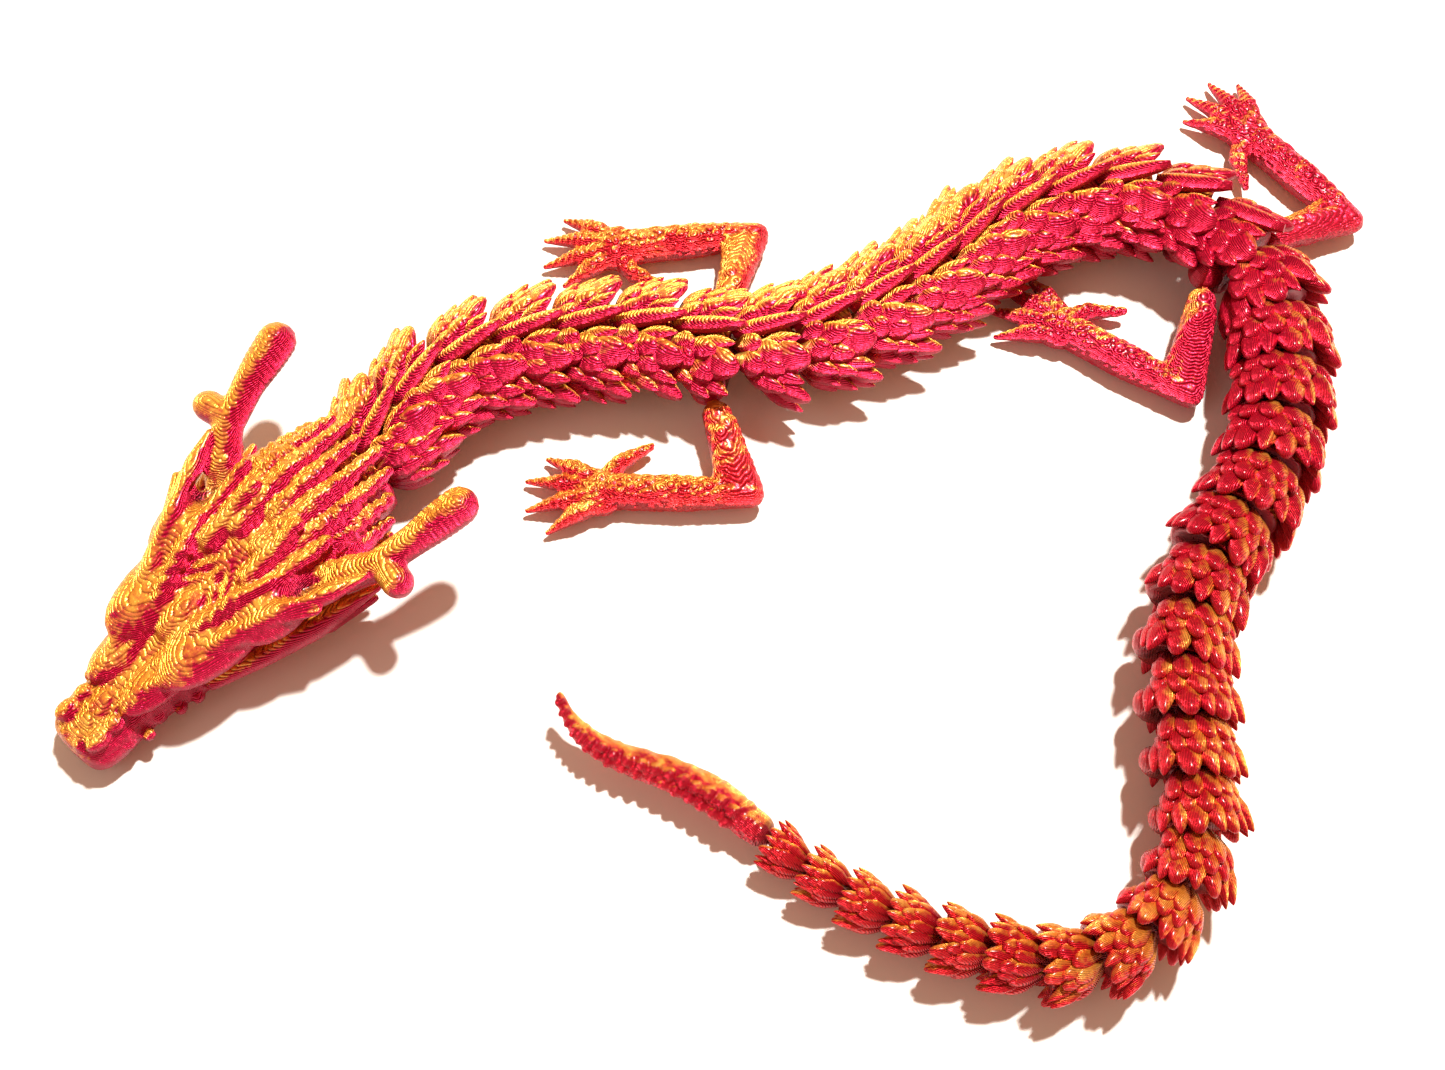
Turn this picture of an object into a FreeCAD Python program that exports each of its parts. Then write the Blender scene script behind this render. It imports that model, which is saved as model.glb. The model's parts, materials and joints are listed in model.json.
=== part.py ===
import FreeCAD, Part
import math
import os

from FreeCAD import Placement, Rotation, Vector

# Articulated printed dragon: a head, a chain of scaled segments, a tail tip and four
# legs, held together by ball joints printed in place. Millimetres, +Z up. The row
# frame stands on the table under the middle of the whole curled figure.

doc = FreeCAD.newDocument("articulated_dragon")

# ---------------------------------------------------------------- driving dimensions

dims = doc.addObject("Spreadsheet::Sheet", "dims")
DRIVING = [
    ("front_pitch", 13.0, "ball to ball, along the neck and back"),
    ("pitch_taper", 0.222, "shorter by this much per tail segment"),
    ("back_taper", 0.0117, "size lost per segment behind the ribs"),
    ("tail_taper", 0.0367, "size lost per segment down the tail"),
    ("ball_radius", 4.0, "ball of a full-size segment"),
    ("joint_gap", 0.35, "gap round a printed ball"),
    ("neck_radius", 1.9, "neck that carries the ball"),
    ("nose_radius", 5.2, "front face of a segment"),
    ("rim_radius", 10.1, "flared rear rim"),
    ("rim_overlap", 2.2, "rim past the socket's centre"),
    ("belly_station", 7.4, "from the ball to the front of the belly pad"),
    ("nose_station", 4.6, "from the ball to the segment's front face"),
    ("belly_depth", 10.6, "axis to the flat belly"),
    ("belly_width", 12.0, "flat belly pad"),
    ("scale_root_radius", 2.4, "root of one scale"),
    ("scale_tip_radius", 0.7, "tip of one scale"),
    ("scale_root_reach", 5.4, "axis to the scale's root"),
    ("scale_tip_reach", 13.7, "axis to the scale's tip"),
    ("scale_overlap", 2.5, "scale tip past the next ball"),
    ("ridge_width", 2.4, "ridge plate thickness"),
    ("ridge_reach", 15.6, "axis to the top of the ridge plate"),
    ("leg_ball_radius", 2.6, "shoulder and hip balls"),
    ("leg_gap", 0.3, "gap round a leg's ball"),
    ("leg_lug_radius", 4.2, "boss that holds a leg's ball"),
    ("leg_lug_reach", 8.2, "body axis to a leg's ball"),
    ("leg_lip", 1.4, "boss past the ball's centre"),
    ("front_arm_length", 27.0, "shoulder to elbow"),
    ("hind_arm_length", 28.0, "hip to knee"),
    ("shin_length", 34.0, "elbow or knee to the toes' roots"),
    ("toe_length", 14.0, "toe with its claw"),
    ("limb_radius", 4.4, "thickest round of a limb"),
    ("head_length", 81.0, "first ball to the nose"),
    ("horn_radius", 3.3, "horn shaft"),
    ("tip_length", 52.0, "last ball to the end of the tail"),
]
for row, (alias, value, note) in enumerate(DRIVING, start=1):
    dims.set("A%d" % row, alias)
    dims.set("B%d" % row, str(value))
    dims.setAlias("B%d" % row, alias)
    dims.set("C%d" % row, note)
doc.recompute()


def dim(alias):
    return float(dims.get(alias))


# ------------------------------------------------------------------ how the body lies

# Bend of each joint to the left, seen along the body from the head: (joints, degrees)
REST_BENDS = [
    (1, 15), (1, -12), (1, -22), (1, -14), (3, -8), (2, 15), (3, 7), (2, -11), (3, -22),
    (2, -21), (4, -10), (3, 12), (2, 3), (5, -21), (5, -5), (1, -2),
]
HEAD_HEADING = 47.0
CHEST = 7
HIP = 17
LAST = 38
TAPER_STARTS = 14
TAIL_STARTS = 26
SHORTER_FROM = 20
ROLL_STARTS = 14
ROLL_ENDS = 25
FULL_ROLL = 75.0

# Scales and ridge: degrees from the top of the back, and roots as a share of the pitch
SCALE_ANGLES = [28, 56, 84, 112]
SCALE_ROOT = 0.56
RIDGE_ROOT = 0.52
RIDGE_TIP_DEPTH = 1.6
PAD_PAST_BALL = 1.6
STEM_BITE = 1.0

# Leg seats: share of the pitch, millimetres below the body's axis, and the rim beside them
SHOULDER_RIM = 0.9
LUG_STATION = 0.78
LUG_DROP = 2.0
SHOULDER_REACH = 6.8
SHOULDER_SLOPE = 0.2


def clamp(value, low, high):
    return max(low, min(high, value))


def taper_steps(k):
    back = clamp(k - TAPER_STARTS, 0, TAIL_STARTS - TAPER_STARTS)
    tail = clamp(k - TAIL_STARTS, 0, LAST - TAIL_STARTS)
    return back, tail


def size(k):
    """Size of segment k beside a full-size one."""
    back, tail = taper_steps(k)
    return 1 - dim("back_taper") * back - dim("tail_taper") * tail


def size_text(k):
    return "(1 - dims.back_taper * %d - dims.tail_taper * %d)" % taper_steps(k)


def pitch(k):
    return dim("front_pitch") - dim("pitch_taper") * max(0, k - SHORTER_FROM)


def pitch_text(k):
    return "(dims.front_pitch - dims.pitch_taper * %d)" % max(0, k - SHORTER_FROM)


def roll(k):
    """Degrees that segment k leans to its left."""
    return FULL_ROLL * clamp((k - ROLL_STARTS) / (ROLL_ENDS - ROLL_STARTS), 0, 1)


def axis_height(k):
    """Height of the body's axis where segment k rests on its belly or its scales."""
    lean = math.radians(roll(k))
    belly = dim("belly_depth") * math.cos(lean) + dim("belly_width") / 2 * math.sin(lean)
    tips = [-math.cos(math.radians(angle) + lean) for angle in SCALE_ANGLES]
    scales = dim("scale_tip_reach") * max(tips) + dim("scale_tip_radius")
    return size(k) * max(belly, scales)


def joint_bends():
    return [bend for count, bend in REST_BENDS for _ in range(count)]


def segment_frames():
    """Placement of the head, every segment and the tail tip: +X runs to the tail."""
    heights = [axis_height(max(1, k - 1)) for k in range(1, LAST + 3)]
    centre = Vector(0, 0, heights[0])
    heading = HEAD_HEADING
    frames = {"head": Placement(centre, Rotation(Vector(0, 0, 1), heading))}
    for k, bend in enumerate(joint_bends(), start=1):
        heading += bend
        length = pitch(k) if k <= LAST else dim("tip_length")
        rise = heights[k] - heights[k - 1] if k <= LAST else 0
        tilt = math.degrees(math.asin(rise / length))
        turn = (
            Rotation(Vector(0, 0, 1), heading)
            * Rotation(Vector(0, 1, 0), -tilt)
            * Rotation(Vector(1, 0, 0), -roll(k))
        )
        frames[k] = Placement(centre, turn)
        centre = centre + turn.multVec(Vector(length, 0, 0))
    return frames


frames = segment_frames()


# ------------------------------------------------------------------- small primitives

TO_X = Rotation(Vector(0, 1, 0), 90)


def primitive(kind, name, place, **expressions):
    """A Part primitive whose sizes follow the sheet."""
    item = doc.addObject("Part::" + kind, name)
    for prop, text in expressions.items():
        item.setExpression(prop, text)
    item.Placement = place
    return item


def ball(name, centre, radius_text, pole=Vector(1, 0, 0)):
    """A sphere whose poles lie along the rod or the opening that meets it."""
    turn = Rotation(Vector(0, 0, 1), pole)
    return primitive("Sphere", name, Placement(centre, turn), Radius=radius_text)


def taper_between(name, start, end, start_radius, end_radius):
    """A cone from one point to another; the radii are sheet expressions."""
    run = end - start
    cone = primitive(
        "Cone", name, Placement(start, Rotation(Vector(0, 0, 1), run)),
        Radius1=start_radius, Radius2=end_radius,
    )
    cone.Height = run.Length
    return cone


def fuse(name, items):
    joined = doc.addObject("Part::MultiFuse", name)
    joined.Shapes = items
    return joined


def cut(name, base, tools):
    result = doc.addObject("Part::Cut", name)
    result.Base = base
    result.Tool = tools[0] if len(tools) == 1 else fuse(name + "_tools", tools)
    return result


# ------------------------------------------------------------------ one body segment

def scale_cone(name, k, angle, length):
    """One pointed scale, leaning out of the body towards the tail."""
    around = math.radians(angle)
    out = Vector(0, math.sin(around), math.cos(around))
    root = out * (dim("scale_root_reach") * size(k)) + Vector(length * SCALE_ROOT, 0, 0)
    tip_station = length + dim("scale_overlap") * size(k)
    tip = out * (dim("scale_tip_reach") * size(k)) + Vector(tip_station, 0, 0)
    return taper_between(
        name, root, tip,
        "dims.scale_root_radius * " + size_text(k),
        "dims.scale_tip_radius * " + size_text(k),
    )


def ridge_plate(name, k, length):
    """The thin plate along the back, tallest at its rear end."""
    scale = size(k)
    plate = primitive(
        "Wedge", name,
        Placement(Vector(0, 0, dim("scale_root_reach") * scale), Rotation(Vector(1, 0, 0), 90)),
        Ymax="(dims.ridge_reach - dims.scale_root_reach) * " + size_text(k),
        Zmin="-dims.ridge_width / 2 * " + size_text(k),
        Z2min="-dims.ridge_width / 3 * " + size_text(k),
        Zmax="dims.ridge_width / 2 * " + size_text(k),
        Z2max="dims.ridge_width / 3 * " + size_text(k),
        Xmax=pitch_text(k),
        X2max=pitch_text(k) + " + dims.scale_overlap * " + size_text(k),
    )
    plate.Xmin = length * RIDGE_ROOT
    plate.X2min = length + dim("scale_overlap") * scale - RIDGE_TIP_DEPTH
    return plate


# How each leg lies: segment it sits in, side, arm, turn about the vertical, drop
LEGS = {
    "left_front_leg": (CHEST, 1, "front_arm_length", -4, 3.9),
    "right_front_leg": (CHEST, -1, "front_arm_length", 27, 3.9),
    "left_hind_leg": (HIP, 1, "hind_arm_length", -22, 2.2),
    "right_hind_leg": (HIP, -1, "hind_arm_length", 33, 7.9),
}


def shoulder_point(side, drop):
    """Where a leg's arm starts, from the centre of its ball."""
    return Vector(0, side * SHOULDER_REACH, -SHOULDER_SLOPE * drop)


def leg_seat(k, side):
    """Centre of a leg's ball in its segment's own frame."""
    return Vector(pitch(k) * LUG_STATION, side * dim("leg_lug_reach"), -LUG_DROP)


def leg_rotation(k, turn):
    """How a leg lies: turned about the vertical from square across its segment."""
    along = frames[k].Rotation.multVec(Vector(1, 0, 0))
    heading = math.degrees(math.atan2(along.y, along.x))
    return Rotation(Vector(0, 0, 1), heading + turn)


def leg_lug(name, k, side):
    """The boss on one side of a segment, open towards the leg that it holds."""
    arm, turn, drop = [spec[2:] for spec in LEGS.values() if spec[:2] == (k, side)][0]
    centre = leg_seat(k, side)
    lying = frames[k].Rotation.inverted() * leg_rotation(k, turn)
    outward = lying.multVec(shoulder_point(side, drop))
    outward.normalize()
    boss = ball(name + "_boss", centre, "dims.leg_lug_radius", outward)
    seat = ball(name + "_seat", centre, "dims.leg_ball_radius + dims.leg_gap", outward)
    lip = primitive(
        "Cylinder", name + "_lip",
        Placement(centre + outward * dim("leg_lip"), Rotation(Vector(0, 0, 1), outward)),
        Radius="dims.leg_lug_radius", Height="dims.leg_lug_radius",
    )
    return boss, [seat, lip]


def segment(k, label):
    """Ball on a neck in front, flared scaled cup with a round socket behind."""
    length = pitch(k)
    scale = size(k)
    ratio = size_text(k)
    nose = Vector(dim("nose_station") * scale, 0, 0)
    belly = Vector(dim("belly_station") * scale, 0, 0)
    rim = Vector(length + dim("rim_overlap") * scale, 0, 0)
    name = "s%02d" % k
    legs = k in (CHEST, HIP)
    before_legs = k + 1 in (CHEST, HIP)
    rim_text = "dims.rim_radius * " + ratio
    if before_legs:
        rim_text += " * %.2f" % SHOULDER_RIM
    solids = [
        taper_between(name + "_flare", nose, rim, "dims.nose_radius * " + ratio, rim_text),
    ]
    pad = primitive(
        "Box", name + "_belly",
        Placement(
            Vector(belly.x, -dim("belly_width") / 2 * scale, -dim("belly_depth") * scale),
            Rotation(),
        ),
        Width="dims.belly_width * " + ratio,
        Height="dims.belly_depth / 2 * " + ratio,
    )
    pad.Length = length + PAD_PAST_BALL * scale - belly.x
    solids.append(pad)
    solids.append(ridge_plate(name + "_ridge", k, length))
    for angle in SCALE_ANGLES[:2] if legs or before_legs else SCALE_ANGLES:
        for side in (1, -1):
            tag = "%s_scale_%s%d" % (name, "l" if side > 0 else "r", angle)
            solids.append(scale_cone(tag, k, side * angle, length))
    hollows = [ball(name + "_socket", Vector(length, 0, 0),
                    "(dims.ball_radius + dims.joint_gap) * " + size_text(k + 1))]
    if legs:
        for side in (1, -1):
            boss, seat = leg_lug("%s_lug_%s" % (name, "l" if side > 0 else "r"), k, side)
            solids.append(boss)
            hollows += seat
    cup = cut(name + "_cup", fuse(name + "_solids", solids), hollows)
    stem = primitive("Cylinder", name + "_stem", Placement(Vector(0, 0, 0), TO_X),
                     Radius="dims.neck_radius * " + ratio)
    stem.Height = nose.x + STEM_BITE
    front_ball = ball(name + "_ball", Vector(0, 0, 0), "dims.ball_radius * " + ratio)
    whole = fuse(label, [cup, front_ball, stem])
    whole.Label = label
    return whole


# ------------------------------------------------------------------------------ head

# Station from the first ball, half width, half height and centre height of the skull,
# each as a share of the head's length
SKULL = [
    (-1.000, 0.056, 0.042, -0.062), (-0.950, 0.101, 0.072, -0.044), (-0.820, 0.094, 0.081, -0.035),
    (-0.650, 0.136, 0.106, -0.010), (-0.480, 0.191, 0.138, 0.022), (-0.320, 0.222, 0.153, 0.037),
    (-0.170, 0.191, 0.146, 0.030), (-0.060, 0.136, 0.126, 0.010), (0.027, 0.126, 0.121, 0.005),
]
END_SWELL = 1.04
ACROSS = Rotation(Vector(0, 1, 0), Vector(0, 0, 1), Vector(1, 0, 0), "ZXY")
HORN = [(-24, 14, 7), (-13, 24, 14), (9, 29, 20)]
HORN_BRANCH = (-16, 32, 14)
BROW_SPIKE = [(-42, 9, 8), (-29, 13, 15)]
CHEEK_SPIKE = [(-32, 14, 4), (-16, 23.5, 6)]
MANE_ANGLES = [22, 48, 74, 100]
MANE_ROOT = (-18, 8)
MANE_TIP = (2, 15.5)
UNDER_LENGTH = 120.0
UNDER_WIDTH = 80.0
UNDER_HEIGHT = 20.0


def lofted(name, sections):
    """A solid through ellipses: (placement, half width text, half height text)."""
    rings = []
    for number, (place, width_text, height_text) in enumerate(sections):
        ring = primitive("Ellipse", "%s_ring_%d" % (name, number), place,
                         MajorRadius=width_text, MinorRadius=height_text)
        rings.append(ring)
    loft = doc.addObject("Part::Loft", name)
    loft.Sections = rings
    loft.Solid = True
    loft.Ruled = False
    return loft


def rod(name, points, radii):
    """Cones end to end with a ball at every point but the first."""
    items = []
    for number in range(len(points) - 1):
        tag = "%s_%d" % (name, number)
        items.append(taper_between(tag, points[number], points[number + 1],
                                   radii[number], radii[number + 1]))
        items.append(ball(tag + "_end", points[number + 1], radii[number + 1] + " * %.2f" % END_SWELL,
                          points[number + 1] - points[number]))
    return items


def head(label):
    sections = []
    for station, half_width, half_height, height in SKULL:
        length = dim("head_length")
        place = Placement(Vector(station * length, 0, height * length), ACROSS)
        sections.append((place, "dims.head_length * %.3f" % half_width,
                         "dims.head_length * %.3f" % half_height))
    solids = [lofted("skull", sections)]
    for side in (1, -1):
        tag = "left" if side > 0 else "right"

        def mirrored(point):
            return Vector(point[0], side * point[1], point[2])

        horn = [mirrored(point) for point in HORN]
        solids += rod(tag + "_horn", horn,
                      ["dims.horn_radius", "dims.horn_radius * 0.9", "dims.horn_radius * 1.15"])
        solids += rod(tag + "_branch", [horn[1], mirrored(HORN_BRANCH)],
                      ["dims.horn_radius * 0.85", "dims.horn_radius * 0.8"])
        solids += rod(tag + "_brow", [mirrored(point) for point in BROW_SPIKE],
                      ["dims.horn_radius * 1.3", "dims.horn_radius * 0.4"])
        solids += rod(tag + "_cheek", [mirrored(point) for point in CHEEK_SPIKE],
                      ["dims.horn_radius * 1.3", "dims.horn_radius * 0.5"])
        for angle in MANE_ANGLES:
            around = math.radians(side * angle)
            out = Vector(0, math.sin(around), math.cos(around))
            solids += rod("%s_mane_%d" % (tag, angle),
                          [out * reach + Vector(station, 0, 0)
                           for station, reach in (MANE_ROOT, MANE_TIP)],
                          ["dims.horn_radius * 1.4", "dims.horn_radius * 0.35"])
    under = primitive("Box", "head_under",
                      Placement(Vector(-UNDER_LENGTH + dim("nose_radius") * 2, -UNDER_WIDTH / 2,
                                       -dim("belly_depth") - UNDER_HEIGHT), Rotation()))
    under.Length = UNDER_LENGTH
    under.Width = UNDER_WIDTH
    under.Height = UNDER_HEIGHT
    socket = ball("head_socket", Vector(0, 0, 0), "dims.ball_radius + dims.joint_gap")
    whole = cut(label, fuse("head_solids", solids), [socket, under])
    whole.Label = label
    return whole


# -------------------------------------------------------------------------- tail tip

# Along the length, sideways bow, rise, and size beside the tail's last segment
TIP_LINE = [
    (0.09, 0.0, 0.0, 0.9), (0.30, 0.3, 0.3, 0.88), (0.50, 2.6, 0.2, 0.74),
    (0.70, 6.4, 0.6, 0.56), (0.86, 7.4, 2.2, 0.40), (1.0, 5.0, 5.0, 0.16),
]
TIP_WIDTH = 0.92
TIP_DEPTH = 0.8


def tail_tip(label):
    length = dim("tip_length")
    turn = Rotation(Vector(1, 0, 0), roll(LAST))
    line = [turn.multVec(Vector(a * length, b, c)) for a, b, c, _ in TIP_LINE]
    sections = []
    for number, point in enumerate(line):
        ahead = line[min(number + 1, len(line) - 1)] - line[max(number - 1, 0)]
        bulk = TIP_LINE[number][3]
        place = Placement(point, Rotation(Vector(0, 0, 1), Vector(0, 1, 0), ahead, "ZXY"))
        sections.append((place,
                         "dims.rim_radius * %.2f * %s" % (bulk * TIP_WIDTH, size_text(LAST)),
                         "dims.rim_radius * %.2f * %s" % (bulk * TIP_DEPTH, size_text(LAST))))
    tip = lofted("tip_blade", sections)
    ratio = size_text(LAST + 1)
    stem = primitive("Cylinder", "tip_stem", Placement(Vector(0, 0, 0), TO_X),
                     Radius="dims.neck_radius * " + ratio)
    stem.Height = TIP_LINE[0][0] * length + STEM_BITE
    whole = fuse(label, [tip, stem, ball("tip_ball", Vector(0, 0, 0), "dims.ball_radius * " + ratio)])
    whole.Label = label
    return whole


# ------------------------------------------------------------------------------ legs

FOLD = 107.0
TOE_SPREAD = [-30, -10, 10, 30]
ELBOW_INSET = 3.0
WRIST_DIP = 1.0
TOE_DIP = 2.2
SPUR = (9, -7, 1)


def leg(label, side, arm, drop):
    """One rigid leg: ball, arm out to the elbow, shin back along the body, toes."""
    fold = math.radians(FOLD)

    def flat(along, out, height):
        return Vector(along, side * out, height)

    arm_length = dim(arm) - ELBOW_INSET
    shin = dim("shin_length")
    ahead = Vector(-math.sin(fold), math.cos(fold), 0)
    shoulder = shoulder_point(side, drop)
    elbow = flat(0, arm_length, -drop)
    wrist_x = ahead.x * shin
    wrist_y = arm_length + ahead.y * shin
    wrist = flat(wrist_x, wrist_y, -drop - WRIST_DIP)
    items = rod(label + "_stem", [Vector(0, 0, 0), shoulder],
                ["dims.neck_radius * 0.68", "dims.neck_radius * 0.7"])
    items += rod(label + "_arm", [shoulder, elbow],
                 ["dims.limb_radius * 0.78", "dims.limb_radius * 0.9"])
    items += rod(label + "_shin", [elbow, wrist],
                 ["dims.limb_radius * 0.9", "dims.limb_radius * 0.78"])
    heading = math.degrees(math.atan2(ahead.y, ahead.x))
    for number, spread in enumerate(TOE_SPREAD):
        angle = math.radians(heading + spread)
        reach = dim("toe_length")
        toe = flat(wrist_x + reach * math.cos(angle), wrist_y + reach * math.sin(angle),
                   -drop - TOE_DIP)
        items += rod("%s_toe_%d" % (label, number), [wrist, toe],
                     ["dims.limb_radius * 0.62", "dims.limb_radius * 0.25"])
    spur = flat(wrist_x + SPUR[0], wrist_y + SPUR[1], -drop + SPUR[2])
    items += rod(label + "_spur", [wrist, spur], ["dims.limb_radius * 0.5", "dims.limb_radius * 0.2"])
    items.append(ball(label + "_ball", Vector(0, 0, 0), "dims.leg_ball_radius", shoulder))
    whole = fuse(label, items)
    whole.Label = label
    return whole


# -------------------------------------------------------------------------- assembly

def segment_label(k):
    if k < CHEST:
        return "neck_segment_%02d" % k
    if k == CHEST:
        return "chest_segment"
    if k < HIP:
        return "back_segment_%02d" % (k - CHEST)
    if k == HIP:
        return "hip_segment"
    return "tail_segment_%02d" % (k - HIP)


pieces = {}
places = {}
pieces["head"] = head("head")
places["head"] = frames["head"]
for k in range(1, LAST + 1):
    label = segment_label(k)
    pieces[label] = segment(k, label)
    places[label] = frames[k]
pieces["tail_tip"] = tail_tip("tail_tip")
places["tail_tip"] = frames[LAST + 1]
for label, (k, side, arm, turn, drop) in LEGS.items():
    pieces[label] = leg(label, side, arm, drop)
    centre = frames[k].multVec(leg_seat(k, side))
    places[label] = Placement(centre, leg_rotation(k, turn))

doc.recompute()

# The frame's origin: on the table, under the middle of the whole figure
whole_box = FreeCAD.BoundBox()
for label, piece in pieces.items():
    shape = piece.Shape.copy()
    shape.Placement = places[label]
    whole_box.add(shape.optimalBoundingBox(False, False))
shift = Placement(
    Vector(-(whole_box.XMin + whole_box.XMax) / 2, -(whole_box.YMin + whole_box.YMax) / 2,
           -whole_box.ZMin),
    Rotation(),
)
for label, piece in pieces.items():
    piece.Placement = shift * places[label]
doc.recompute()

faults = [item.Name for item in doc.Objects if "Invalid" in item.State or "Error" in item.State]
for label, piece in pieces.items():
    if piece.Shape.isNull() or not piece.Shape.isValid() or len(piece.Shape.Solids) != 1:
        faults.append(label)
if faults:
    raise RuntimeError("failed objects: " + ", ".join(faults))

os.makedirs("parts", exist_ok=True)
for label, piece in pieces.items():
    piece.Shape.exportStep("parts/%s.step" % label)
    box = piece.Shape.BoundBox
    print("%-18s volume %8.1f mm3  z %.2f to %.2f" % (label, piece.Shape.Volume, box.ZMin, box.ZMax))
print("joint centres, in the row frame:")
for key, frame in frames.items():
    point = (shift * frame).Base
    print("  %-5s %.3f %.3f %.3f" % (key, point.x, point.y, point.z))
for label in LEGS:
    point = pieces[label].Placement.Base
    print("  %-15s %.3f %.3f %.3f" % (label, point.x, point.y, point.z))
print("figure %.1f x %.1f x %.1f mm" % (whole_box.XLength, whole_box.YLength, whole_box.ZLength))
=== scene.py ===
import bpy
import bmesh
import json
import math
import random
from mathutils import Matrix, Vector, noise

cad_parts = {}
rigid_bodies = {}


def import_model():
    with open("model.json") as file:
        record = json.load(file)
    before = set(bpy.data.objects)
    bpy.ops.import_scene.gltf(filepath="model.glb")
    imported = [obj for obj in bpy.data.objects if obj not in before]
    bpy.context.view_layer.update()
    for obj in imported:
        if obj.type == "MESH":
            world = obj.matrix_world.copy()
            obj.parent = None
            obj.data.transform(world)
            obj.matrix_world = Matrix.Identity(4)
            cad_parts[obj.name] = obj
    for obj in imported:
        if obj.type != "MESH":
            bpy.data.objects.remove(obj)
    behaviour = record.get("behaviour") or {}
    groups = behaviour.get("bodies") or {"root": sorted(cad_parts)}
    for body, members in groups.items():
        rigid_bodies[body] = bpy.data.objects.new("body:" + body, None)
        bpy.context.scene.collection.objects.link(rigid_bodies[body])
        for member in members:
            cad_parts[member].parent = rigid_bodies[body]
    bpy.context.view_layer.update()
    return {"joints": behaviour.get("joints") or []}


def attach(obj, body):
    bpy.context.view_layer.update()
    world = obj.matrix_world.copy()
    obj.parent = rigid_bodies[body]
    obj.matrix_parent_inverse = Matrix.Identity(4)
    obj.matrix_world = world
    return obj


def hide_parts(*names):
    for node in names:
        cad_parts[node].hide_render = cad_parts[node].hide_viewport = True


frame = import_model()
mm = 0.001
random.seed(11)


# small helpers used by every piece

def deselectAll():
    if bpy.context.object and bpy.context.object.mode != "OBJECT":
        bpy.ops.object.mode_set(mode="OBJECT")
    bpy.ops.object.select_all(action="DESELECT")


def applyPlace(obj):
    deselectAll()
    obj.select_set(True)
    bpy.context.view_layer.objects.active = obj
    bpy.ops.object.transform_apply(location=True, rotation=True, scale=True)


def applyModifier(obj, kind, name, **settings):
    deselectAll()
    bpy.context.view_layer.objects.active = obj
    obj.select_set(True)
    mod = obj.modifiers.new(name, kind)
    for key, value in settings.items():
        setattr(mod, key, value)
    bpy.ops.object.modifier_apply(modifier=name)


def joinAll(name, parts):
    deselectAll()
    for part in parts:
        part.select_set(True)
    bpy.context.view_layer.objects.active = parts[0]
    if len(parts) > 1:
        bpy.ops.object.join()
    whole = bpy.context.view_layer.objects.active
    whole.name = name
    whole.data.name = name
    return whole


def turnTo(direction):
    return Vector(direction).to_track_quat("Z", "Y").to_euler()


def ballAt(centre, radii, direction=(0, 0, 1), sides=20):
    deselectAll()
    bpy.ops.mesh.primitive_uv_sphere_add(segments=sides, ring_count=sides // 2, radius=mm,
                                         location=Vector(centre) * mm, rotation=turnTo(direction))
    obj = bpy.context.object
    obj.scale = radii
    applyPlace(obj)
    return obj


def taperAt(start, end, startRadius, endRadius, flat=1.0, sides=18):
    a, b = Vector(start), Vector(end)
    deselectAll()
    bpy.ops.mesh.primitive_cone_add(vertices=sides, radius1=startRadius * mm,
                                    radius2=endRadius * mm, depth=(b - a).length * mm,
                                    location=(a + b) * 0.5 * mm, rotation=turnTo(b - a))
    obj = bpy.context.object
    obj.scale = (1, flat, 1)
    applyPlace(obj)
    return obj


def horny(points, radii, flat=1.0):
    # tapers end to end with a rounded joint at every point
    parts = []
    for i in range(len(points) - 1):
        parts.append(taperAt(points[i], points[i + 1], radii[i], radii[i + 1], flat))
    for point, radius in zip(points, radii):
        parts.append(ballAt(point, (radius,) * 3, sides=16))
    return parts


def loftAlong(stations, sides):
    # a circle is drawn out ring by ring: station, half width, half height, height
    x, w, h, z = stations[0]
    deselectAll()
    bpy.ops.mesh.primitive_circle_add(vertices=sides, radius=1, fill_type="NGON",
                                      rotation=(0, math.radians(90), 0))
    obj = bpy.context.object
    applyPlace(obj)
    bpy.ops.object.mode_set(mode="EDIT")
    bpy.ops.mesh.select_all(action="SELECT")
    bpy.ops.transform.resize(value=(1, w * mm, h * mm))
    bpy.ops.transform.translate(value=(x * mm, 0, z * mm))
    for nx, nw, nh, nz in stations[1:]:
        bpy.ops.mesh.extrude_region_move(
            TRANSFORM_OT_translate={"value": ((nx - x) * mm, 0, (nz - z) * mm)})
        bpy.ops.transform.resize(value=(1, nw / w, nh / h),
                                 center_override=(nx * mm, 0, nz * mm))
        x, w, h, z = nx, nw, nh, nz
    bpy.ops.mesh.select_all(action="SELECT")
    bpy.ops.mesh.normals_make_consistent(inside=False)
    bpy.ops.object.mode_set(mode="OBJECT")
    return obj


def melt(name, parts, voxel, smoothing=3):
    # joined shapes flow into one skin, as the printed piece is one body
    obj = joinAll(name, parts)
    applyModifier(obj, "REMESH", "skin", mode="VOXEL", voxel_size=voxel * mm)
    applyModifier(obj, "SMOOTH", "soften", factor=0.5, iterations=smoothing)
    return obj


def carve(obj, depthAt):
    # pushes every point along its normal, by a depth in millimetres
    mesh = obj.data
    normals = [v.normal.copy() for v in mesh.vertices]
    for v, n in zip(mesh.vertices, normals):
        v.co += n * (depthAt(v.co / mm, n) * mm)
    mesh.update()


def bump(p, centre, radii):
    d = Vector(((p.x - centre[0]) / radii[0], (p.y - centre[1]) / radii[1],
                (p.z - centre[2]) / radii[2])).length_squared
    return math.exp(-d * 1.6)


def lumps(p, step, seed=0.0):
    # rounded pebbles: 1 on top of each, 0 in the seams
    near, _ = noise.voronoi((p / step) + Vector((seed, seed * 2, 0)))
    return max(0.0, 1 - (near[0] / max(1e-6, near[1])) ** 2)


# how the body lies, read from the joints

chainSettings = {
    "chest": 7, "hip": 17, "last": 38,
    "taperStarts": 14, "tailStarts": 26, "backTaper": 0.0117, "tailTaper": 0.0367,
    "leanStarts": 14, "leanEnds": 25, "fullLean": 75.0,
}


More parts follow.
